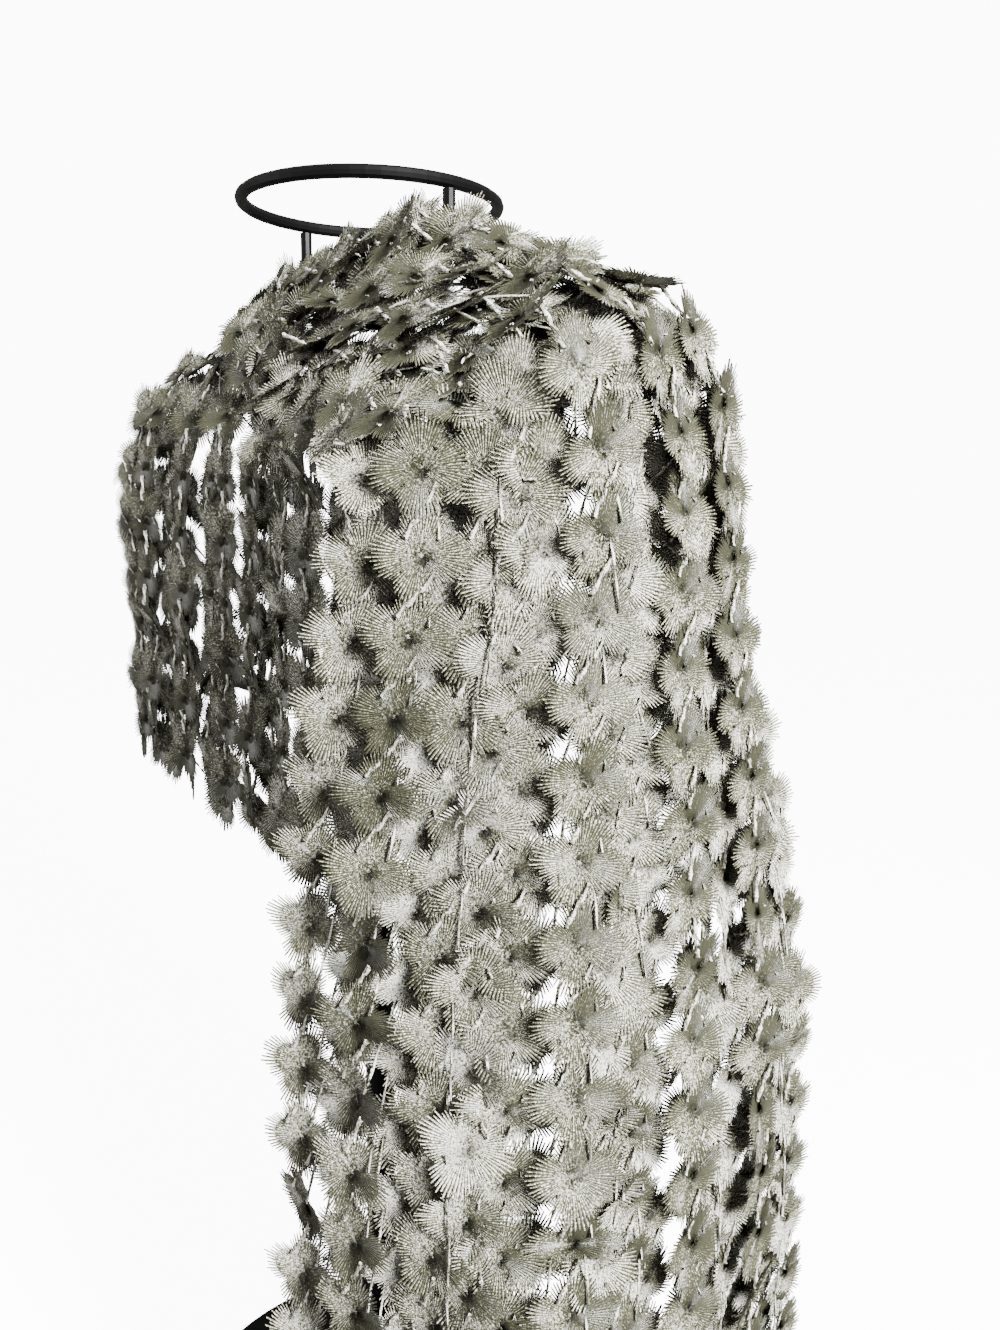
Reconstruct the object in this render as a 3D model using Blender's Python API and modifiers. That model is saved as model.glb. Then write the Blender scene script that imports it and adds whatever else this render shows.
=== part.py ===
"""A lace shawl thrown over one shoulder of a wire dress form.

Metres, +Z up, standing on the floor at Z = 0. +X is the shoulder that the long end falls over, and -Y is the face
that the short end hangs on. The sizes below are in millimetres, and those of the form and of the cloth's sections
are measured from the centre of the neck ring.
"""

import math
from collections import namedtuple

import bmesh
import bpy
import numpy as np
from mathutils import Vector

MM = 0.001

# The wire dress form
RING_HEIGHT = 700.0
RING_RADIUS = 62.0
ROD_RADIUS = 3.0
POST_HEIGHT = 30.0
POST_BEND_RADIUS = 8.0
HALF_SHOULDER = 167.0
SHOULDER_DROP = 72.0
ARMHOLE_HALF_WIDTH = 54.0
ARMHOLE_STRAIGHT = 74.0
SPINE_RADIUS = 4.0
SPINE_OVERHANG = 4.0
POLE_RADIUS = 8.0
BASE_RADIUS = 125.0
BASE_THICKNESS = 6.0
WELD_GAP = 0.3

# How finely the round forms are divided
RING_SEGMENTS = 60
ROD_SEGMENTS = 10
POST_BEND_STEPS = 6
ARCH_STEPS = 18
POLE_SEGMENTS = 24
BASE_SEGMENTS = 72

# Half way between the short end's edge at -X and the long end's furthest fold at +X, so the part stands centred
CENTRE_X = 24.47

# The lace: one straight length of flowers, 11 columns wide and 39 rows long
COLUMNS = 11
ROWS = 39
STEPS_PER_FLOWER = 2
GAP_THICKNESS = 1.3
CORD_THICKNESS = 1.7
FLOWER_THICKNESS = 2.8
SCALLOP_DEPTH = 0.16
SEAM_GAP = 0.62
SLOPE_STEP = 0.02

# Where the cloth's troughs run, one section of four points across the width for each named row of flowers
Section = namedtuple("Section", "row outer_edge one_third two_thirds inner_edge")
SECTIONS = (
    Section(0.0, (-170, -63, -297), (-80, -72, -300), (16, -82, -303), (118, -84, -306)),
    Section(3.3, (-169, -63, -198), (-82, -68, -200), (14, -78, -204), (116, -81, -210)),
    Section(6.0, (-170, -62, -122), (-92, -61, -124), (8, -73, -130), (110, -80, -148)),
    Section(7.2, (-168, -42, -78), (-91, -53, -98), (6, -71, -113), (110, -83, -136)),
    Section(8.3, (-152, 5, -48), (-84, -42, -69), (6, -68, -100), (109, -87, -127)),
    Section(10.0, (-108, 10, -28), (-54, -41, -54), (18, -68, -92), (111, -90, -121)),
    Section(11.8, (-64, -10, -18), (-15, -42, -54), (40, -69, -86), (114, -93, -118)),
    Section(13.6, (0, -9, -16), (26, -38, -50), (63, -68, -81), (118, -96, -117)),
    Section(15.5, (62, -12, -11), (70, -39, -46), (89, -67, -78), (122, -98, -117)),
    Section(17.3, (112, 9, -30), (112, -35, -46), (114, -65, -78), (126, -100, -120)),
    Section(19.0, (156, 18, -49), (150, -28, -52), (143, -62, -80), (130, -103, -127)),
    Section(20.2, (178, 37, -70), (186, -10, -66.5), (175, -62, -91), (133, -106, -138)),
    Section(21.8, (185, 54, -110), (197, 8, -112), (186, -56, -127), (131, -107, -156)),
    Section(24.8, (192, 64, -198), (202, 10, -200), (184, -62, -206), (112, -111, -218)),
    Section(28.2, (206, 80, -292), (212, 10, -298), (190, -76, -302), (88, -114, -306)),
    Section(32.2, (212, 89, -408), (218, 10, -412), (194, -82, -416), (90, -122, -420)),
    Section(39.0, (213, 90, -606), (220, 10, -612), (196, -84, -624), (90, -124, -640)),
)

# The lengthwise folds: the column each crest follows at three rows, its half width in columns, its heights there
Fold = namedtuple("Fold", "at_short_end at_yoke at_long_end half_width low middle high")
FOLD_ROWS = (0.0, 14.0, 39.0)
FULL_HEIGHT_ROW = 26.0
FOLDS = (
    Fold(0.9, 0.8, 1.0, 1.15, 4, 7, 12),
    Fold(2.8, 2.9, 2.8, 1.05, 6, 10, 15),
    Fold(4.8, 4.7, 4.9, 1.2, 5, 12, 11),
    Fold(6.6, 6.8, 6.7, 1.0, 7, 11, 16),
    Fold(8.4, 8.5, 8.5, 1.1, 6, 10, 12),
    Fold(10.2, 10.1, 10.2, 1.0, 7, 8, 14),
)

# Each stretch of the cloth, with its first and last row
STRETCHES = (
    ("short_end", 0, 7),
    ("shoulder_stretch", 7, 21),
    ("long_end", 21, 39),
)


def clear_scene():
    for old in list(bpy.data.objects):
        bpy.data.objects.remove(old, do_unlink=True)


def collection(name):
    made = bpy.data.collections.new(name)
    bpy.context.scene.collection.children.link(made)
    return made


def principled(name, colour, roughness, metallic):
    material = bpy.data.materials.new(name)
    material.use_nodes = True
    shader = material.node_tree.nodes["Principled BSDF"]
    shader.inputs["Base Color"].default_value = (*colour, 1.0)
    shader.inputs["Roughness"].default_value = roughness
    shader.inputs["Metallic"].default_value = metallic
    return material


def place(x, y, z):
    """A point measured from the neck ring's centre, in millimetres, as a point of the part, in metres."""
    return Vector(((x - CENTRE_X) * MM, y * MM, (z + RING_HEIGHT) * MM))


def rod(name, points, radius, material, parts, closed=False):
    """A round wire through the points, closed or with flat ends."""
    curve = bpy.data.curves.new(name, "CURVE")
    curve.dimensions = "3D"
    curve.bevel_depth = radius * MM
    curve.bevel_resolution = 3
    curve.use_fill_caps = not closed
    spline = curve.splines.new("POLY")
    spline.points.add(len(points) - 1)
    spline.use_cyclic_u = closed
    for knot, point in zip(spline.points, points):
        knot.co = (*place(*point), 1.0)
    curve.materials.append(material)
    parts.objects.link(bpy.data.objects.new(name, curve))


def cylinder(name, segments, radius, low, high, material, parts):
    """An upright round bar between two heights, under the ring's centre."""
    bpy.ops.mesh.primitive_cylinder_add(
        vertices=segments,
        radius=radius * MM,
        depth=(high - low) * MM,
        location=place(0, 0, (low + high) / 2),
    )
    keep(bpy.context.active_object, name, material, parts)


def keep(made, name, material, parts):
    """Names a new object, shades all of it but its flat ends smooth and moves it to the part's collection."""
    made.name = name
    for face in made.data.polygons:
        face.use_smooth = len(face.vertices) == 4
    made.data.materials.append(material)
    for user in list(made.users_collection):
        user.objects.unlink(made)
    parts.objects.link(made)


def neck_ring(material, parts):
    bpy.ops.mesh.primitive_torus_add(
        major_segments=RING_SEGMENTS,
        minor_segments=ROD_SEGMENTS,
        major_radius=RING_RADIUS * MM,
        minor_radius=ROD_RADIUS * MM,
        location=place(0, 0, 0),
    )
    keep(bpy.context.active_object, "neck_ring", material, parts)


def shoulder_wire(name, side, material, parts):
    """One bent wire: a short post under the ring, a round bend and a slope down to the armhole's top."""
    top = -ROD_RADIUS - WELD_GAP
    run = HALF_SHOULDER - RING_RADIUS
    fall = SHOULDER_DROP - POST_HEIGHT
    turn = math.atan2(run, fall)
    reach = POST_BEND_RADIUS * math.tan(turn / 2)
    points = [(side * RING_RADIUS, 0, top)]
    for step in range(POST_BEND_STEPS + 1):
        angle = turn * step / POST_BEND_STEPS
        out = POST_BEND_RADIUS * (1 - math.cos(angle))
        down = POST_HEIGHT - reach + POST_BEND_RADIUS * math.sin(angle)
        points.append((side * (RING_RADIUS + out), 0, -down))
    length = math.hypot(run, fall)
    end = (length - (ROD_RADIUS + WELD_GAP) * length / run) / length
    points.append((side * (RING_RADIUS + run * end), 0, -POST_HEIGHT - fall * end))
    rod(name, points, ROD_RADIUS, material, parts)


def armhole(name, side, material, parts):
    """A closed upright loop with a half circle at its top and bottom and straight legs between them."""
    upper = -SHOULDER_DROP - ARMHOLE_HALF_WIDTH
    points = []
    for centre, turn in ((upper, 0), (upper - ARMHOLE_STRAIGHT, math.pi)):
        for step in range(ARCH_STEPS + 1):
            angle = turn + math.pi * step / ARCH_STEPS
            y = -ARMHOLE_HALF_WIDTH * math.cos(angle)
            z = centre + ARMHOLE_HALF_WIDTH * math.sin(angle)
            points.append((side * HALF_SHOULDER, y, z))
    rod(name, points, ROD_RADIUS, material, parts, closed=True)


def stand(material, parts):
    """A level bar under both armholes, a pole under its middle and a round base on the floor."""
    armhole_foot = -SHOULDER_DROP - 2 * ARMHOLE_HALF_WIDTH - ARMHOLE_STRAIGHT - ROD_RADIUS
    bar = armhole_foot - WELD_GAP - SPINE_RADIUS
    reach = HALF_SHOULDER + SPINE_OVERHANG
    rod("spine_bar", [(-reach, 0, bar), (reach, 0, bar)], SPINE_RADIUS, material, parts)
    base_top = -RING_HEIGHT + BASE_THICKNESS
    pole_top = bar - SPINE_RADIUS - WELD_GAP
    pole_foot = base_top + WELD_GAP
    cylinder("stand_pole", POLE_SEGMENTS, POLE_RADIUS, pole_foot, pole_top, material, parts)
    cylinder("stand_base", BASE_SEGMENTS, BASE_RADIUS, -RING_HEIGHT, base_top, material, parts)


def natural_spline(knots, values, at):
    """The values at each place of a natural cubic spline through the knots."""
    knots = np.asarray(knots, float)
    values = np.asarray(values, float)
    at = np.asarray(at, float)
    count = len(knots)
    gaps = np.diff(knots)
    column = (-1,) + (1,) * (values.ndim - 1)
    slopes = np.diff(values, axis=0) / gaps.reshape(column)
    system = np.eye(count)
    right = np.zeros_like(values)
    for i in range(1, count - 1):
        system[i, i - 1 : i + 2] = gaps[i - 1], 2 * (gaps[i - 1] + gaps[i]), gaps[i]
        right[i] = 6 * (slopes[i] - slopes[i - 1])
    bend = np.linalg.solve(system, right.reshape(count, -1)).reshape(values.shape)
    span = np.clip(np.searchsorted(knots, at, "right") - 1, 0, count - 2)
    gap = gaps[span].reshape(column)
    after = at.reshape(column) - knots[span].reshape(column)
    before = gap - after
    return (
        (bend[span] * before**3 + bend[span + 1] * after**3) / (6 * gap)
        + (values[span] / gap - bend[span] * gap / 6) * before
        + (values[span + 1] / gap - bend[span + 1] * gap / 6) * after
    )


def trough_points(columns, rows):
    """The surface of the cloth's troughs, as rows by columns by 3."""
    sections = np.array([section[1:] for section in SECTIONS], float)
    along = natural_spline([section.row for section in SECTIONS], sections, rows)
    places = np.arange(sections.shape[1]) * COLUMNS / (sections.shape[1] - 1)
    across = natural_spline(places, np.moveaxis(along, 1, 0), columns)
    return np.moveaxis(across, 0, 1)


def fold_height(columns, rows):
    """How far the lengthwise folds lift each point off the troughs."""
    height = np.zeros((len(rows), len(columns)))
    height_rows = (*FOLD_ROWS[:2], FULL_HEIGHT_ROW, FOLD_ROWS[2])
    for fold in FOLDS:
        crest = natural_spline(FOLD_ROWS, (fold.at_short_end, fold.at_yoke, fold.at_long_end), rows)
        rise = natural_spline(height_rows, (fold.low, fold.middle, fold.high, fold.high), rows)
        off = (columns[None, :] - crest[:, None]) / fold.half_width
        wave = np.where(np.abs(off) < 1, np.cos(off * math.pi / 2) ** 2, 0)
        height += rise[:, None] * wave
    return height


def cloth_points(columns, rows):
    """The inner face of the cloth, as rows by columns by 3, in millimetres from the ring's centre."""
    across = trough_points(columns + SLOPE_STEP, rows) - trough_points(columns - SLOPE_STEP, rows)
    along = trough_points(columns, rows + SLOPE_STEP) - trough_points(columns, rows - SLOPE_STEP)
    normal = np.cross(along, across)
    normal /= np.linalg.norm(normal, axis=2, keepdims=True)
    return trough_points(columns, rows) + normal * fold_height(columns, rows)[..., None]


def scalloped(points):
    """The same grid with its outer edges drawn in between the flowers, where whole columns and rows meet."""
    drawn = points.copy()
    notch = slice(0, None, STEPS_PER_FLOWER)
    share = SCALLOP_DEPTH * STEPS_PER_FLOWER
    for edge, inner in ((0, 1), (-1, -2)):
        drawn[notch, edge] += (points[notch, inner] - points[notch, edge]) * share
        if edge == 0:
            drawn[0, notch] += (points[1, notch] - points[0, notch]) * share
        else:
            drawn[-1, notch] += (points[-2, notch] - points[-1, notch]) * share
    return drawn


def thickness_share(row_step, column_step):
    """The wall is thickest at a flower's centre, thinner at the cords and thinnest in the gaps between four."""
    halves = row_step % STEPS_PER_FLOWER + column_step % STEPS_PER_FLOWER
    return (GAP_THICKNESS, CORD_THICKNESS, FLOWER_THICKNESS)[halves] / FLOWER_THICKNESS


def stretch(name, first_row, last_row, points, material, parts):
    """One stretch of the cloth as an open grid of the cloth's points, thickened outwards."""
    first = first_row * STEPS_PER_FLOWER
    last = last_row * STEPS_PER_FLOWER
    grid = points[first : last + 1].copy()
    for edge, inner, is_seam in ((0, 1, first_row > 0), (-1, -2, last_row < ROWS)):
        if is_seam:
            back = grid[inner] - grid[edge]
            back /= np.linalg.norm(back, axis=1, keepdims=True)
            grid[edge] += back * SEAM_GAP / 2
    rows, columns = grid.shape[:2]
    mesh = bpy.data.meshes.new(name)
    shape = bmesh.new()
    bmesh.ops.create_grid(shape, x_segments=columns - 1, y_segments=rows - 1, size=0.5)
    shape.to_mesh(mesh)
    shape.free()
    cloth = bpy.data.objects.new(name, mesh)
    parts.objects.link(cloth)
    relief = cloth.vertex_groups.new(name="thickness")
    for vertex in mesh.vertices:
        column = round((vertex.co.x + 0.5) * (columns - 1))
        row = round((vertex.co.y + 0.5) * (rows - 1))
        vertex.co = place(*grid[row, column])
        relief.add([vertex.index], thickness_share(row, column), "REPLACE")
    mesh.shade_smooth()
    mesh.materials.append(material)
    wall = cloth.modifiers.new("wall", "SOLIDIFY")
    wall.thickness = FLOWER_THICKNESS * MM
    wall.offset = 1
    wall.vertex_group = relief.name


def shawl(material, parts):
    columns = np.arange(COLUMNS * STEPS_PER_FLOWER + 1) / STEPS_PER_FLOWER
    rows = np.arange(ROWS * STEPS_PER_FLOWER + 1) / STEPS_PER_FLOWER
    points = scalloped(cloth_points(columns, rows))
    for name, first_row, last_row in STRETCHES:
        stretch(name, first_row, last_row, points, material, parts)


def main():
    clear_scene()
    parts = collection("lace_shawl")
    wire = principled("black_wire", (0.012, 0.012, 0.013), 0.38, 0.0)
    lace = principled("ivory_lace", (0.72, 0.69, 0.60), 0.55, 0.0)
    neck_ring(wire, parts)
    shoulder_wire("near_shoulder_wire", 1, wire, parts)
    shoulder_wire("far_shoulder_wire", -1, wire, parts)
    armhole("near_armhole", 1, wire, parts)
    armhole("far_armhole", -1, wire, parts)
    stand(wire, parts)
    shawl(lace, parts)


main()
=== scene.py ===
"""The looks of a flower-lace shawl thrown over one shoulder of a black wire dress form.

The lace is round four-lobed flowers of radiating thread, joined by twisted cords down each column and thinner
cords across, laid over the same surface as the part's solids. Every other column is set back into the shade
and painted darker as shade too; flowers low in the folds get painted shade, thread crowns painted highlights.
"""

import math
from collections import namedtuple

import bpy
import numpy as np
from mathutils import Matrix, Vector

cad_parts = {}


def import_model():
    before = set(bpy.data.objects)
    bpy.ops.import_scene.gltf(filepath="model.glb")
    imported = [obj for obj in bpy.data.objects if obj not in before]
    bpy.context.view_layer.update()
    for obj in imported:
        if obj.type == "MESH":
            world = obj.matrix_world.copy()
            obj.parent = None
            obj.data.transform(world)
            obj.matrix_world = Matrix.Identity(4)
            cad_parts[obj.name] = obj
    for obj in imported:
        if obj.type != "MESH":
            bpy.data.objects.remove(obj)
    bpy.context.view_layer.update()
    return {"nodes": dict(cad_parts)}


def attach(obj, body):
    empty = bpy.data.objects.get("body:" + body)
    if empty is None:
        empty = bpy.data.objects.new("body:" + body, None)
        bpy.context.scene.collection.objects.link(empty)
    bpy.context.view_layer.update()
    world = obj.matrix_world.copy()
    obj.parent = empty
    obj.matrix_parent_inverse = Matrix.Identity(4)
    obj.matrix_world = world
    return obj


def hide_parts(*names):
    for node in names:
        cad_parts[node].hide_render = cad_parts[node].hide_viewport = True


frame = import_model()

MM = 0.001

# The part's own sizes, in millimetres from the centre of the neck ring
RING_HEIGHT = 700.0
CENTRE_X = 24.47
HALF_SHOULDER = 167.0
SHOULDER_DROP = 72.0
RING_RADIUS = 62.0
POST_HEIGHT = 30.0
ARMHOLE_HALF_WIDTH = 54.0
ARMHOLE_STRAIGHT = 74.0
ROD_RADIUS = 3.0
COLUMNS = 11
ROWS = 39
SLOPE_STEP = 0.02

# The part's surface: the cloth's troughs by section, then its lengthwise folds
Section = namedtuple("Section", "row outer_edge one_third two_thirds inner_edge")
SECTIONS = (
    Section(0.0, (-170, -63, -297), (-80, -72, -300), (16, -82, -303), (118, -84, -306)),
    Section(3.3, (-169, -63, -198), (-82, -68, -200), (14, -78, -204), (116, -81, -210)),
    Section(6.0, (-170, -62, -122), (-92, -61, -124), (8, -73, -130), (110, -80, -148)),
    Section(7.2, (-168, -42, -78), (-91, -53, -98), (6, -71, -113), (110, -83, -136)),
    Section(8.3, (-152, 5, -48), (-84, -42, -69), (6, -68, -100), (109, -87, -127)),
    Section(10.0, (-108, 10, -28), (-54, -41, -54), (18, -68, -92), (111, -90, -121)),
    Section(11.8, (-64, -10, -18), (-15, -42, -54), (40, -69, -86), (114, -93, -118)),
    Section(13.6, (0, -9, -16), (26, -38, -50), (63, -68, -81), (118, -96, -117)),
    Section(15.5, (62, -12, -11), (70, -39, -46), (89, -67, -78), (122, -98, -117)),
    Section(17.3, (112, 9, -30), (112, -35, -46), (114, -65, -78), (126, -100, -120)),
    Section(19.0, (156, 18, -49), (150, -28, -52), (143, -62, -80), (130, -103, -127)),
    Section(20.2, (178, 37, -70), (186, -10, -66.5), (175, -62, -91), (133, -106, -138)),
    Section(21.8, (185, 54, -110), (197, 8, -112), (186, -56, -127), (131, -107, -156)),
    Section(24.8, (192, 64, -198), (202, 10, -200), (184, -62, -206), (112, -111, -218)),
    Section(28.2, (206, 80, -292), (212, 10, -298), (190, -76, -302), (88, -114, -306)),
    Section(32.2, (212, 89, -408), (218, 10, -412), (194, -82, -416), (90, -122, -420)),
    Section(39.0, (213, 90, -606), (220, 10, -612), (196, -84, -624), (90, -124, -640)),
)
Fold = namedtuple("Fold", "at_short_end at_yoke at_long_end half_width low middle high")
FOLD_ROWS = (0.0, 14.0, 39.0)
FULL_HEIGHT_ROW = 26.0
FOLDS = (
    Fold(0.9, 0.8, 1.0, 1.15, 4, 7, 12),
    Fold(2.8, 2.9, 2.8, 1.05, 6, 10, 15),
    Fold(4.8, 4.7, 4.9, 1.2, 5, 12, 11),
    Fold(6.6, 6.8, 6.7, 1.0, 7, 11, 16),
    Fold(8.4, 8.5, 8.5, 1.1, 6, 10, 12),
    Fold(10.2, 10.1, 10.2, 1.0, 7, 8, 14),
)

# The flowers
SPOKES = 72
LOBE_CENTRE = 6.9
LOBE_RADIUS = 8.8
FLOWER_STRETCH = 1.06
SLIT_FROM = 0.7
FLOWER_LIFT = 1.2
NOTCH_REACH = 11.6
TEMPLATES = 8
LACE_COLUMNS = 20
LACE_ROW_PITCH = 30.0
OUTER_EDGE_COLUMN = 0.05
INNER_EDGE_COLUMN = 10.5
HEM_LENGTH = 9.0
# Painted shade and light: how much darker a flower is painted low in a fold and lighter high on a crest
SHADE_OF_DEPTH = 0.2
INNER_LAYER_DEPTH = 6.0
DOME_HEIGHT = 1.1
RIDGE_HEIGHT = 0.34
VALLEY_DEPTH = 0.22
TIP_WIDTH = 0.2
LIFT_TRIES = 10
LIFT_STEP = 0.8
WARP_CORD_RADIUS = 0.95
WEFT_CORD_RADIUS = 0.6
CORD_SHADE = 0.1
CORD_TUCK = NOTCH_REACH * 0.74
CORD_DEPTH = -0.5
CORD_SAG = 0.6
# Painted shade: how much darker the set-back columns are painted
INNER_LAYER_SHADE = 0.2

# How the lace lies in each stretch: the turns that flowers take about each axis in degrees,
# and their most lift in millimetres
Lay = namedtuple("Lay", "name first_row last_row tilt lean turn lift replaces")
LAYS = (
    Lay("short_end_lace", 0, 7, 14, 12, 8, 1.6, "short_end"),
    Lay("shoulder_lace_far", 7, 13, 30, 28, 24, 3.4, "shoulder_stretch"),
    Lay("shoulder_lace_near", 13, 21, 22, 20, 20, 3.4, "shoulder_stretch"),
    Lay("long_end_lace_upper", 21, 30, 16, 15, 14, 2.6, "long_end"),
    Lay("long_end_lace_lower", 30, 39, 16, 15, 14, 2.6, "long_end"),
)


def natural_spline(knots, values, at):
    """The values at each place of a natural cubic spline through the knots."""
    knots = np.asarray(knots, float)
    values = np.asarray(values, float)
    at = np.asarray(at, float)
    count = len(knots)
    gaps = np.diff(knots)
    column = (-1,) + (1,) * (values.ndim - 1)
    slopes = np.diff(values, axis=0) / gaps.reshape(column)
    system = np.eye(count)
    right = np.zeros_like(values)
    for i in range(1, count - 1):
        system[i, i - 1 : i + 2] = gaps[i - 1], 2 * (gaps[i - 1] + gaps[i]), gaps[i]
        right[i] = 6 * (slopes[i] - slopes[i - 1])
    bend = np.linalg.solve(system, right.reshape(count, -1)).reshape(values.shape)
    span = np.clip(np.searchsorted(knots, at, "right") - 1, 0, count - 2)
    gap = gaps[span].reshape(column)
    after = at.reshape(column) - knots[span].reshape(column)
    before = gap - after
    return (
        (bend[span] * before**3 + bend[span + 1] * after**3) / (6 * gap)
        + (values[span] / gap - bend[span] * gap / 6) * before
        + (values[span + 1] / gap - bend[span + 1] * gap / 6) * after
    )


def trough_points(columns, rows):
    """The surface of the cloth's troughs, as rows by columns by 3."""
    sections = np.array([section[1:] for section in SECTIONS], float)
    along = natural_spline([section.row for section in SECTIONS], sections, rows)
    places = np.arange(sections.shape[1]) * COLUMNS / (sections.shape[1] - 1)
    across = natural_spline(places, np.moveaxis(along, 1, 0), columns)
    return np.moveaxis(across, 0, 1)


def fold_height(columns, rows):
    """How far the lengthwise folds lift each point off the troughs."""
    height = np.zeros((len(rows), len(columns)))
    height_rows = (*FOLD_ROWS[:2], FULL_HEIGHT_ROW, FOLD_ROWS[2])
    for fold in FOLDS:
        crest = natural_spline(FOLD_ROWS, (fold.at_short_end, fold.at_yoke, fold.at_long_end), rows)
        rise = natural_spline(height_rows, (fold.low, fold.middle, fold.high, fold.high), rows)
        off = (columns[None, :] - crest[:, None]) / fold.half_width
        wave = np.where(np.abs(off) < 1, np.cos(off * math.pi / 2) ** 2, 0)
        height += rise[:, None] * wave
    return height


def surface(columns, rows):
    """The inner face of the cloth, as rows by columns by 3, in millimetres from the ring's centre."""
    across = trough_points(columns + SLOPE_STEP, rows) - trough_points(columns - SLOPE_STEP, rows)
    along = trough_points(columns, rows + SLOPE_STEP) - trough_points(columns, rows - SLOPE_STEP)
    normal = np.cross(along, across)
    normal /= np.linalg.norm(normal, axis=2, keepdims=True)
    return trough_points(columns, rows) + normal * fold_height(columns, rows)[..., None]


def unit(vectors):
    return vectors / np.linalg.norm(vectors, axis=-1, keepdims=True)


class Drape:
    """The cloth's surface sampled finely, so that a place and its three directions can be read anywhere."""

    fine = 8

    def __init__(self):
        self.rows = np.arange(-2 * self.fine, (ROWS + 2) * self.fine + 1) / self.fine
        self.columns = np.arange(-2 * self.fine, (COLUMNS + 2) * self.fine + 1) / self.fine
        self.points = surface(self.columns, self.rows)

    def at(self, column, row):
        """Points for arrays of columns and rows of the same length."""
        u = (np.asarray(column, float) + 2) * self.fine
        v = (np.asarray(row, float) + 2) * self.fine
        i = np.clip(np.floor(v).astype(int), 0, len(self.rows) - 2)
        j = np.clip(np.floor(u).astype(int), 0, len(self.columns) - 2)
        fv = (v - i)[:, None]
        fu = (u - j)[:, None]
        p = self.points
        upper = p[i, j] * (1 - fu) + p[i, j + 1] * fu
        lower = p[i + 1, j] * (1 - fu) + p[i + 1, j + 1] * fu
        return upper * (1 - fv) + lower * fv

    def normal(self, column, row, reach=0.6, spread=2.0):
        """Unit vectors off the cloth at each place, with the sides of the folds half evened out."""
        right = np.minimum(column + spread, COLUMNS)
        left = np.maximum(column - spread, 0)
        across = self.at(right, row) - self.at(left, row)
        along = self.at(column, row + reach) - self.at(column, row - reach)
        return unit(np.cross(along, across))

    def rows_at_lengths(self, column, lengths):
        """The rows at which a line down one column has run each length from the short end's hem."""
        rows = np.arange(0, ROWS * 16 + 1) / 16
        line = self.at(np.full(len(rows), column), rows)
        run = np.concatenate([[0], np.cumsum(np.linalg.norm(np.diff(line, axis=0), axis=1))])
        return np.interp(lengths, run, rows), run[-1]


def lobe_radius(angle):
    """How far the flower's outline is from its centre: four round lobes on the diagonals."""
    diagonal = (angle - math.pi / 4) % (math.pi / 2)
    diagonal = np.minimum(diagonal, math.pi / 2 - diagonal)
    centre = LOBE_CENTRE * math.sqrt(2)
    return centre * np.cos(diagonal) + np.sqrt(LOBE_RADIUS**2 - (centre * np.sin(diagonal)) ** 2)


def flower_template(rng):
    """One flower, in millimetres round its centre: points, faces and a pair of numbers for each face corner.

    Each spoke is a thread with a raised middle; beyond SLIT_FROM its end stands free of its neighbours'.
    """
    step = 2 * math.pi / SPOKES
    rings = (0.06, 0.38, SLIT_FROM)
    points = []
    sides = []
    angles = np.arange(SPOKES) * step + rng.uniform(-0.12, 0.12, SPOKES) * step
    ends = rng.uniform(0.92, 1.06, SPOKES)
    heights = rng.uniform(-0.25, 0.5, SPOKES)
    cup = rng.uniform(-1.2, 1.2)
    wave = rng.uniform(0.2, 1.0)
    wave_turn = rng.uniform(0, 2 * math.pi)

    def lift(share, angle, ridge):
        dish = DOME_HEIGHT * (1 - share**2) - cup * share**2
        curl = wave * share**2 * math.sin(2 * angle + wave_turn)
        return dish + curl + ridge

    def put(share, angle, ridge):
        radius = float(lobe_radius(np.array(angle))) * share
        points.append(
            (
                radius * math.cos(angle) * FLOWER_STRETCH,
                radius * math.sin(angle),
                lift(share, angle, ridge),
            )
        )
        return len(points) - 1

    valley = {}
    ridge = {}
    for k in range(SPOKES):
        between = (angles[k] + angles[(k + 1) % SPOKES] + (2 * math.pi if k == SPOKES - 1 else 0)) / 2
        for n, share in enumerate(rings):
            ridge[n, k] = put(share, angles[k], RIDGE_HEIGHT + 0.35 * heights[k] * share)
            valley[n, k] = put(share, between, -VALLEY_DEPTH)
    faces = []
    corners = []

    def face(*parts):
        faces.append(tuple(part[0] for part in parts))
        corners.extend(part[1:] for part in parts)

    for k in range(SPOKES):
        before = (k - 1) % SPOKES
        left = (k - 0.5) / SPOKES
        middle = k / SPOKES
        right = (k + 0.5) / SPOKES
        for n in range(len(rings) - 1):
            low, high = rings[n], rings[n + 1]
            face(
                (valley[n, before], left, low),
                (valley[n + 1, before], left, high),
                (ridge[n + 1, k], middle, high),
                (ridge[n, k], middle, low),
            )
            face(
                (ridge[n, k], middle, low),
                (ridge[n + 1, k], middle, high),
                (valley[n + 1, k], right, high),
                (valley[n, k], right, low),
            )
        last = len(rings) - 1
        tip_left = put(ends[k] * 0.985, angles[k] - TIP_WIDTH * step, heights[k] - 0.1)
        tip = put(ends[k], angles[k], heights[k] + 0.2)
        tip_right = put(ends[k] * 0.985, angles[k] + TIP_WIDTH * step, heights[k] - 0.1)
        face(
            (valley[last, before], left, SLIT_FROM),
            (tip_left, left + 0.2 / SPOKES, 1.0),
            (tip, middle, 1.0),
            (ridge[last, k], middle, SLIT_FROM),
        )
        face(
            (ridge[last, k], middle, SLIT_FROM),
            (tip, middle, 1.0),
            (tip_right, right - 0.2 / SPOKES, 1.0),
            (valley[last, k], right, SLIT_FROM),
        )
    middle_ring = []
    for k in range(SPOKES):
        middle_ring.append((ridge[0, k], k / SPOKES, rings[0]))
        middle_ring.append((valley[0, k], (k + 0.5) / SPOKES, rings[0]))
    face(*middle_ring)
    return np.array(points), faces, np.array(corners)


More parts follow.
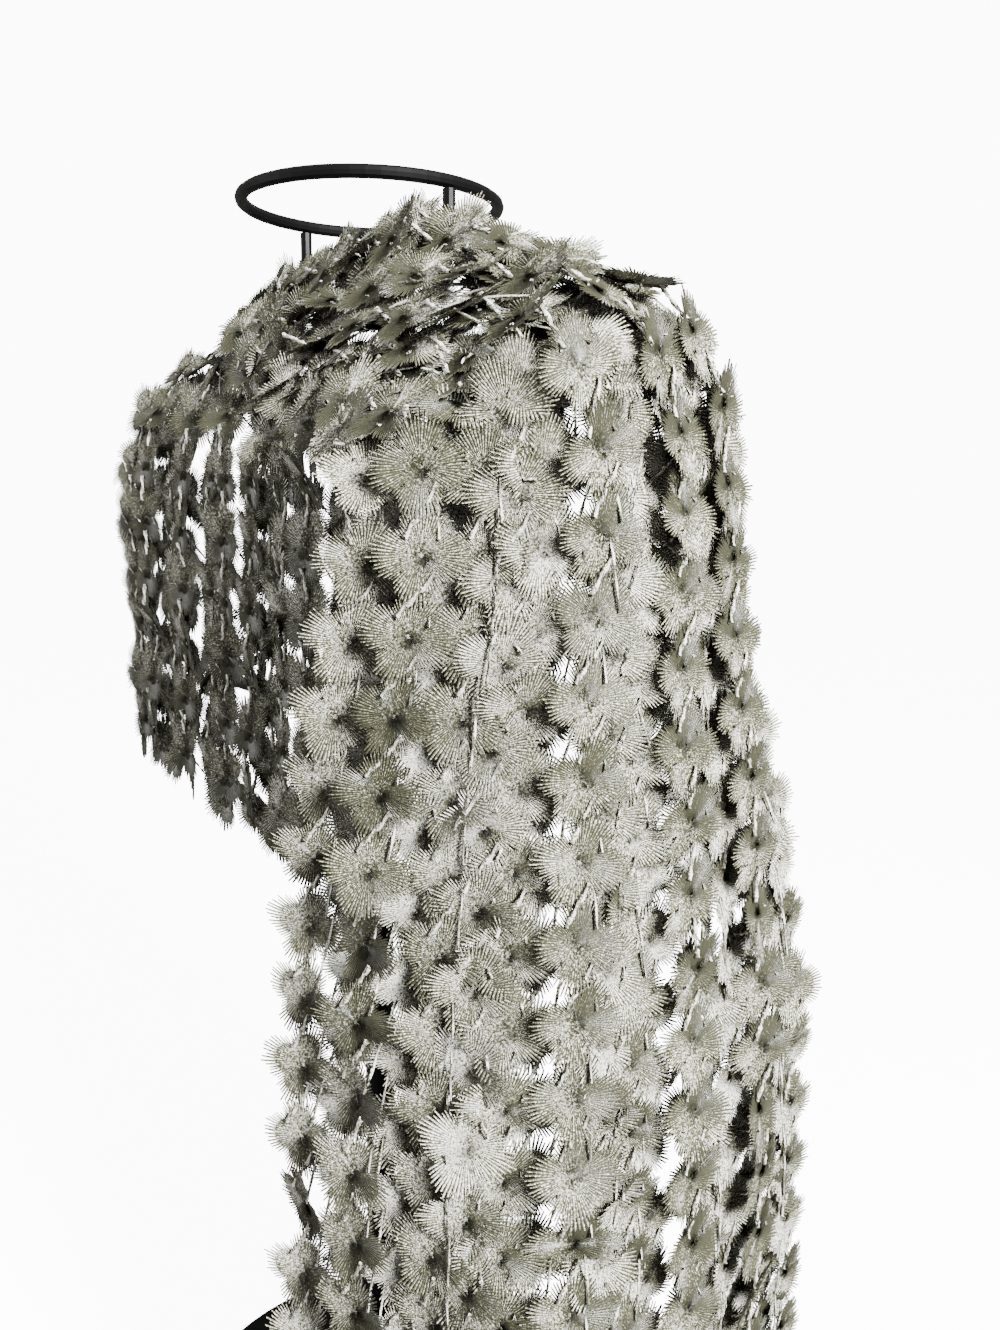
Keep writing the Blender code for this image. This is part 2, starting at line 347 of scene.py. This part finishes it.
def wire_lines():
    """The centre lines of the form's wires that the lace lies over, as pairs of ends."""
    lines = []
    for side in (-1, 1):
        corner = (side * RING_RADIUS, 0, -POST_HEIGHT)
        lines.append(((side * RING_RADIUS, 0, 0), corner))
        lines.append((corner, (side * HALF_SHOULDER, 0, -SHOULDER_DROP)))
        upper = -SHOULDER_DROP - ARMHOLE_HALF_WIDTH
        loop = []
        for centre, turn in ((upper, 0), (upper - ARMHOLE_STRAIGHT, math.pi)):
            for step in range(13):
                angle = turn + math.pi * step / 12
                y = -ARMHOLE_HALF_WIDTH * math.cos(angle)
                z = centre + ARMHOLE_HALF_WIDTH * math.sin(angle)
                loop.append((side * HALF_SHOULDER, y, z))
        loop.append(loop[0])
        lines.extend(zip(loop[:-1], loop[1:]))
    return np.array(lines, float)


WIRES = wire_lines()
CLEARANCE = ROD_RADIUS + 0.7


def clear_of_wires(points):
    """The least distance of any of the points from the wires' centre lines."""
    start = WIRES[:, 0][None]
    way = (WIRES[:, 1] - WIRES[:, 0])[None]
    off = points[:, None] - start
    share = np.clip((off * way).sum(2) / (way**2).sum(2), 0, 1)[..., None]
    return np.linalg.norm(off - way * share, axis=2).min()


def turned(axes, tilt, lean, turn):
    """A flower's directions, tilted about the first, leant about the second and turned about the third."""
    bend = Matrix.Rotation(tilt, 3, "X") @ Matrix.Rotation(lean, 3, "Y") @ Matrix.Rotation(turn, 3, "Z")
    return axes @ np.array(bend)


def world(points):
    moved = np.array(points, float)
    moved[:, 0] -= CENTRE_X
    moved[:, 2] += RING_HEIGHT
    return moved * MM


class Pile:
    """Gathers points and faces, with the numbers that the thread's material reads, into one mesh."""

    def __init__(self):
        self.points = []
        self.faces = []
        self.corners = []
        self.shades = []
        self.count = 0

    def add(self, points, faces, corners, shade):
        self.points.append(points)
        self.faces.extend(tuple(i + self.count for i in face) for face in faces)
        self.corners.append(corners)
        self.shades.append(np.full(len(points), shade))
        self.count += len(points)

    def build(self, name, material):
        mesh = bpy.data.meshes.new(name)
        mesh.from_pydata(world(np.vstack(self.points)).tolist(), [], self.faces)
        layer = mesh.uv_layers.new(name="thread")
        layer.data.foreach_set("uv", np.vstack(self.corners).astype(np.float32).ravel())
        shade = mesh.attributes.new("shade", "FLOAT", "POINT")
        shade.data.foreach_set("value", np.concatenate(self.shades).astype(np.float32))
        mesh.shade_smooth()
        mesh.materials.append(material)
        made = bpy.data.objects.new(name, mesh)
        bpy.context.scene.collection.objects.link(made)
        return made


def twisted_cord(pile, path, offs, radius, shade, sides=8, twist=0.42):
    """A two-ply cord along the path: its outline is a figure of eight that turns as it goes."""
    count = len(path)
    way = unit(np.gradient(path, axis=0))
    side = unit(np.cross(way, offs))
    up = np.cross(side, way)
    length = np.concatenate([[0], np.cumsum(np.linalg.norm(np.diff(path, axis=0), axis=1))])
    around = np.arange(sides) * 2 * math.pi / sides
    wide = radius * (1.0 + 0.38 * np.cos(2 * around))
    points = []
    for k in range(count):
        turn = around + length[k] * twist
        points.append(
            path[k]
            + side[k] * (wide * np.cos(turn))[:, None]
            + up[k] * (wide * np.sin(turn))[:, None] * 0.9
        )
    faces = []
    corners = []
    for k in range(count - 1):
        for s in range(sides):
            t = (s + 1) % sides
            faces.append((k * sides + s, k * sides + t, (k + 1) * sides + t, (k + 1) * sides + s))
            left, right = 2 * s / sides / SPOKES, 2 * (s + 1) / sides / SPOKES
            corners.extend(((left, 0.5), (right, 0.5), (right, 0.5), (left, 0.5)))
    pile.add(np.vstack(points), faces, np.array(corners), shade)


def lace_material():
    """Satin thread: painted highlight along each thread's crown, painted shade between threads, painted glints
    in a fine speckle, warmer in patches.
    """
    material = bpy.data.materials.new("ivory_thread")
    material.use_nodes = True
    nodes = material.node_tree.nodes
    links = material.node_tree.links
    shader = nodes["Principled BSDF"]
    shader.inputs["Specular IOR Level"].default_value = 0.5

    def fill(made, values):
        for socket, value in zip(made.inputs, values):
            if isinstance(value, (int, float)):
                socket.default_value = value
            else:
                links.new(value, socket)
        return made.outputs[0]

    def math_node(operation, *values):
        made = nodes.new("ShaderNodeMath")
        made.operation = operation
        return fill(made, values)

    def noise(scale, detail):
        made = nodes.new("ShaderNodeTexNoise")
        made.inputs["Scale"].default_value = scale
        made.inputs["Detail"].default_value = detail
        links.new(place.outputs["Object"], made.inputs["Vector"])
        return made.outputs["Fac"]

    uv = nodes.new("ShaderNodeUVMap")
    uv.uv_map = "thread"
    split = nodes.new("ShaderNodeSeparateXYZ")
    links.new(uv.outputs[0], split.inputs[0])
    shade = nodes.new("ShaderNodeAttribute")
    shade.attribute_name = "shade"
    place = nodes.new("ShaderNodeTexCoord")

    grain = noise(1300, 1)
    patch = noise(24, 2)
    turn = math_node("MULTIPLY", split.outputs[0], 2 * math.pi * SPOKES)
    thread = math_node("COSINE", math_node("MULTIPLY_ADD", grain, 2.0, turn))
    height = math_node("MULTIPLY_ADD", thread, 0.5, 0.5)

    bump = nodes.new("ShaderNodeBump")
    bump.inputs["Strength"].default_value = 0.8
    bump.inputs["Distance"].default_value = 0.0005
    links.new(height, bump.inputs["Height"])
    links.new(bump.outputs[0], shader.inputs["Normal"])

    # Painted highlight on each thread's crown and painted shade between threads, added to each flower's
    # painted shade
    painted_thread_light_and_shade = math_node("MULTIPLY_ADD", height, 0.5, shade.outputs["Fac"])
    # Painted glints: the fine grain speckles the colour lighter and darker
    with_painted_glints = math_node("MULTIPLY_ADD", grain, 1.5, painted_thread_light_and_shade)
    patched = math_node("MULTIPLY_ADD", patch, 0.3, with_painted_glints)
    centred = math_node("MULTIPLY_ADD", split.outputs[1], -0.22, patched)
    mixed = math_node("SUBTRACT", centred, 0.33)
    ramp = nodes.new("ShaderNodeValToRGB")
    stops = (
        (0.46, (0.05, 0.05, 0.03, 1)),
        (0.72, (0.35, 0.34, 0.235, 1)),
        (0.95, (0.94, 0.935, 0.88, 1)),
    )
    ramp.color_ramp.elements.new(stops[1][0])
    for element, (position, colour) in zip(ramp.color_ramp.elements, stops):
        element.position = position
        element.color = colour
    links.new(mixed, ramp.inputs[0])
    links.new(ramp.outputs[0], shader.inputs["Base Color"])
    links.new(math_node("MULTIPLY_ADD", grain, 0.5, 0.12), shader.inputs["Roughness"])
    return material


def wire_material():
    material = bpy.data.materials.new("black_wire_satin")
    material.use_nodes = True
    nodes = material.node_tree.nodes
    links = material.node_tree.links
    shader = nodes["Principled BSDF"]
    shader.inputs["Base Color"].default_value = (0.002, 0.002, 0.0022, 1)
    place = nodes.new("ShaderNodeTexCoord")
    grain = nodes.new("ShaderNodeTexNoise")
    grain.inputs["Scale"].default_value = 160
    links.new(place.outputs["Object"], grain.inputs["Vector"])
    rough = nodes.new("ShaderNodeMapRange")
    rough.inputs["To Min"].default_value = 0.4
    rough.inputs["To Max"].default_value = 0.52
    shader.inputs["Specular IOR Level"].default_value = 0.15
    links.new(grain.outputs["Fac"], rough.inputs["Value"])
    links.new(rough.outputs[0], shader.inputs["Roughness"])
    return material


Flower = namedtuple("Flower", "column place row_on_cloth axes")


def net_of_flowers(drape):
    """Where each flower's centre lies and its directions.

    The threads keep their length, so the net shears where the inner edge takes the shorter way round the
    shoulder, and each flower turns half way with it. A set-back column starts half a flower lower.
    """
    centres = {}
    for i in range(LACE_COLUMNS):
        share = i / (LACE_COLUMNS - 1)
        column = OUTER_EDGE_COLUMN * (1 - share) + INNER_EDGE_COLUMN * share
        whole = drape.rows_at_lengths(column, [0])[1] - 2 * HEM_LENGTH
        inner = i % 2
        count = round(whole / LACE_ROW_PITCH) + 1 - inner
        lengths = HEM_LENGTH + (np.arange(count) + inner / 2) * whole / (count - 1 + inner)
        rows = drape.rows_at_lengths(column, lengths)[0]
        places = drape.at(np.full(count, column), rows)
        normals = drape.normal(np.full(count, column), rows)
        for j in range(count):
            centres[i, j] = (places[j], rows[j], normals[j], column)
    flowers = {}
    for (i, j), (place, row, normal, column) in centres.items():
        above = centres.get((i, j - 1), centres[i, j])[0]
        below = centres.get((i, j + 1), centres[i, j])[0]
        before = centres.get((i - 1, j), centres[i, j])[0]
        after = centres.get((i + 1, j), centres[i, j])[0]
        warp = below - above
        weft = after - before
        warp = unit(warp - normal * warp.dot(normal))
        if np.linalg.norm(weft) < 1:
            weft = np.cross(normal, warp)
        weft = unit(weft - normal * weft.dot(normal))
        bisector = unit(warp + weft)
        beside = np.cross(normal, bisector)
        along = (bisector + beside) / math.sqrt(2)
        across = (bisector - beside) / math.sqrt(2)
        if along.dot(warp) < across.dot(warp):
            along, across = across, along
        axes = np.stack([-across, along, normal], axis=1)
        flowers[i, j] = Flower(column, place, row, axes)
    return flowers


def pose_flower(flower, lay, template, inner, rng):
    """One flower's place and directions after its own small tilts, with its back kept clear of the wires."""
    spreads = (lay.tilt, lay.lean, lay.turn)
    tilt, lean, turn = (math.radians(rng.normal(0, 0.6) * spread) for spread in spreads)
    lift = FLOWER_LIFT + rng.uniform(0, 1) * lay.lift - INNER_LAYER_DEPTH * inner
    for _ in range(LIFT_TRIES):
        axes = turned(flower.axes, tilt, lean, turn)
        place = flower.place + flower.axes[:, 2] * lift
        if clear_of_wires(template @ axes.T + place) >= CLEARANCE:
            break
        tilt *= 0.7
        lean *= 0.7
        lift += LIFT_STEP
    return place, axes


def bridge(start, end, sag, count):
    """Points of a slack thread between two places."""
    share = np.linspace(0, 1, count)[:, None]
    return start + (end - start) * share + sag * 4 * share * (1 - share)


def notch(pose, x, y):
    """The place behind a flower where a cord is tucked in."""
    place, axes = pose
    return place + axes @ np.array([x, y, CORD_DEPTH])


def lay_cords(poses, owner, lay, pile):
    """The twisted cord down each column and the thinner cords between the flowers of each row."""
    for (i, j), pose in poses.items():
        if owner[i, j] != lay.name:
            continue
        off = pose[1][:, 2]
        if (i, j + 1) in poses:
            leave = notch(pose, 0, CORD_TUCK)
            reach = notch(poses[i, j + 1], 0, -CORD_TUCK)
            path = bridge(leave, reach, off * CORD_SAG, 7)
            twisted_cord(pile, path, np.tile(off, (7, 1)), WARP_CORD_RADIUS, CORD_SHADE)
        if (i + 1, j) in poses:
            leave = notch(pose, -CORD_TUCK, 0)
            reach = notch(poses[i + 1, j], CORD_TUCK, 0)
            path = bridge(leave, reach, -off * CORD_SAG, 5)
            offs = np.tile(off, (5, 1))
            twisted_cord(pile, path, offs, WEFT_CORD_RADIUS, CORD_SHADE, sides=5, twist=0.9)


def build_lace():
    drape = Drape()
    rng = np.random.default_rng(7)
    templates = [flower_template(rng) for _ in range(TEMPLATES)]
    material = lace_material()
    flowers = net_of_flowers(drape)
    poses = {}
    owner = {}
    piles = {lay.name: Pile() for lay in LAYS}
    for key, flower in flowers.items():
        lay = next(lay for lay in LAYS if flower.row_on_cloth <= lay.last_row)
        points, faces, corners = templates[rng.integers(TEMPLATES)]
        inner = key[0] % 2
        place, axes = pose_flower(flower, lay, points, inner, rng)
        poses[key] = (place, axes)
        owner[key] = lay.name
        # Painted shade and light: flowers low in a fold are painted darker and those high on a crest lighter,
        # with a small random tone on top
        crest = fold_height(np.array([flower.column]), np.array([flower.row_on_cloth]))[0, 0]
        # Painted shade: the set-back columns are also painted darker
        shade = SHADE_OF_DEPTH * (crest / 12 - 0.7) - INNER_LAYER_SHADE * inner + rng.normal(0.0, 0.06)
        piles[lay.name].add(points @ axes.T + place, faces, corners, shade)
    for lay in LAYS:
        lace = piles[lay.name].build(lay.name, material)
        cords = Pile()
        lay_cords(poses, owner, lay, cords)
        net = cords.build(lay.name.replace("lace", "cords"), material)
        for piece in (lace, net):
            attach(piece, "root")
        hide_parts(lay.replaces)


def dress_form():
    material = wire_material()
    for name, node in frame["nodes"].items():
        node.data.materials.clear()
        node.data.materials.append(material)


def paper(name, colour, glow):
    material = bpy.data.materials.new(name)
    material.use_nodes = True
    shader = material.node_tree.nodes["Principled BSDF"]
    shader.inputs["Base Color"].default_value = (*colour, 1)
    shader.inputs["Roughness"].default_value = 0.9
    shader.inputs["Emission Color"].default_value = (1, 1, 1, 1)
    shader.inputs["Emission Strength"].default_value = glow
    return material


def room():
    """A white floor and backdrop that only the lens sees, in a dim room."""
    bpy.ops.mesh.primitive_circle_add(vertices=96, radius=30, fill_type="NGON", location=(0, 0, 0))
    floor = bpy.context.active_object
    floor.name = "floor"
    floor.data.materials.append(paper("white_floor", (0.9, 0.9, 0.9), FLOOR_GLOW))
    bpy.ops.mesh.primitive_uv_sphere_add(segments=48, ring_count=24, radius=30, location=(0, 0, 0))
    backdrop = bpy.context.active_object
    backdrop.name = "backdrop"
    backdrop.data.materials.append(paper("white_backdrop", (0.0, 0.0, 0.0), BACKDROP_GLOW))
    for paper_piece in (floor, backdrop):
        paper_piece.visible_diffuse = False
        paper_piece.visible_glossy = False
        paper_piece.visible_transmission = False
        paper_piece.visible_shadow = False
    dim = bpy.data.worlds.new("dim_room")
    dim.use_nodes = True
    background = dim.node_tree.nodes["Background"]
    background.inputs["Color"].default_value = (1, 0.99, 0.96, 1)
    background.inputs["Strength"].default_value = ROOM_LIGHT
    bpy.context.scene.world = dim


def area_light(name, place, target, power, size):
    light = bpy.data.lights.new(name, "AREA")
    light.energy = power
    light.size = size
    made = bpy.data.objects.new(name, light)
    made.location = place
    made.rotation_euler = (Vector(target) - Vector(place)).to_track_quat("-Z", "Y").to_euler()
    bpy.context.scene.collection.objects.link(made)


FLOOR_GLOW = 11.0
BACKDROP_GLOW = 11.4
ROOM_LIGHT = 0.36

# The fitted camera: where it stands from the ring's centre in millimetres, the way it looks, its roll and lens
CAMERA_FROM_RING = (462.5, -310.6, -127.7)
CAMERA_AHEAD = (-0.759, 0.651)
CAMERA_PITCH = 10.2
CAMERA_ROLL = 0.6
CAMERA_LENS = 28.9
CAMERA_SENSOR = 36.0


def camera():
    data = bpy.data.cameras.new("camera")
    data.lens = CAMERA_LENS
    data.sensor_width = CAMERA_SENSOR
    data.clip_start = 0.01
    made = bpy.data.objects.new("camera", data)
    x, y, z = CAMERA_FROM_RING
    made.location = ((x - CENTRE_X) * MM, y * MM, (z + RING_HEIGHT) * MM)
    pitch = math.radians(CAMERA_PITCH)
    ahead = Vector((*(c * math.cos(pitch) for c in CAMERA_AHEAD), -math.sin(pitch))).normalized()
    facing = ahead.to_track_quat("-Z", "Y").to_matrix()
    roll = Matrix.Rotation(math.radians(CAMERA_ROLL), 3, "Z")
    made.rotation_euler = (facing @ roll).to_euler()
    bpy.context.scene.collection.objects.link(made)
    bpy.context.scene.camera = made


build_lace()
dress_form()
room()
area_light("key", (1.46, -0.19, 1.17), (0.05, 0, 0.45), 140, 0.3)
area_light("fill", (-0.9, -1.5, 1.0), (-0.1, 0, 0.5), 20, 0.9)
camera()
